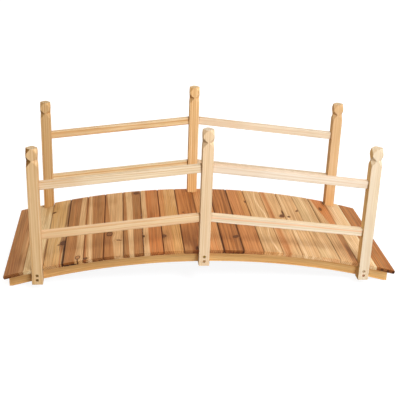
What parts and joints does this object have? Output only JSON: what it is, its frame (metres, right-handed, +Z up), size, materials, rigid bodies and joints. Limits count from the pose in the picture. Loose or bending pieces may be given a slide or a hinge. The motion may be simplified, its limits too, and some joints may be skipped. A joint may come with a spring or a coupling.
{
  "type": "moon bridge",
  "caption": "Arched wooden garden bridge: a plank deck on bowed stringers, with square posts that have faceted heads and straight side rails, for walking over a stream or dry bed.",
  "frame": {"origin": "middle of the footprint, on the ground under the crown of the arch", "axes": "+X along the bridge to the picture's right end, +Y across it to the far side, +Z up"},
  "size_m": [1.5218, 0.632, 0.639],
  "materials": {
    "deck_heartwood": "planed, unfinished",
    "deck_mixed_wood": "planed, unfinished",
    "deck_sapwood": "planed, unfinished",
    "stringer_wood": "sawn and sanded, unfinished",
    "post_wood": "planed, unfinished",
    "rail_wood": "planed, unfinished",
    "screw_steel": "coated, dull"
  },
  "bodies": {
    "root": {"deck_plank_01": "deck_heartwood", "deck_plank_02": "deck_sapwood", "deck_plank_03": "deck_mixed_wood", "deck_plank_04": "deck_heartwood", "deck_plank_05": "deck_mixed_wood", "deck_plank_06": "deck_mixed_wood", "deck_plank_07": "deck_heartwood", "deck_plank_08": "deck_heartwood", "deck_plank_09": "deck_mixed_wood", "deck_plank_10": "deck_heartwood", "deck_plank_11": "deck_mixed_wood", "deck_plank_12": "deck_heartwood", "deck_plank_13": "deck_mixed_wood", "deck_plank_14": "deck_sapwood", "deck_plank_15": "deck_sapwood", "deck_plank_16": "deck_sapwood", "deck_plank_17": "deck_sapwood", "deck_plank_18": "deck_mixed_wood", "deck_plank_19": "deck_sapwood", "deck_plank_20": "deck_heartwood", "post_front_left": "post_wood", "post_front_middle": "post_wood", "post_front_right": "post_wood", "post_back_left": "post_wood", "post_back_middle": "post_wood", "post_back_right": "post_wood", "rail_front_left_lower": "rail_wood", "rail_front_left_upper": "rail_wood", "rail_front_right_lower": "rail_wood", "rail_front_right_upper": "rail_wood", "rail_back_left_lower": "rail_wood", "rail_back_left_upper": "rail_wood", "rail_back_right_lower": "rail_wood", "rail_back_right_upper": "rail_wood", "stringer_front": "stringer_wood", "stringer_back": "stringer_wood"}
  },
  "joints": []
}
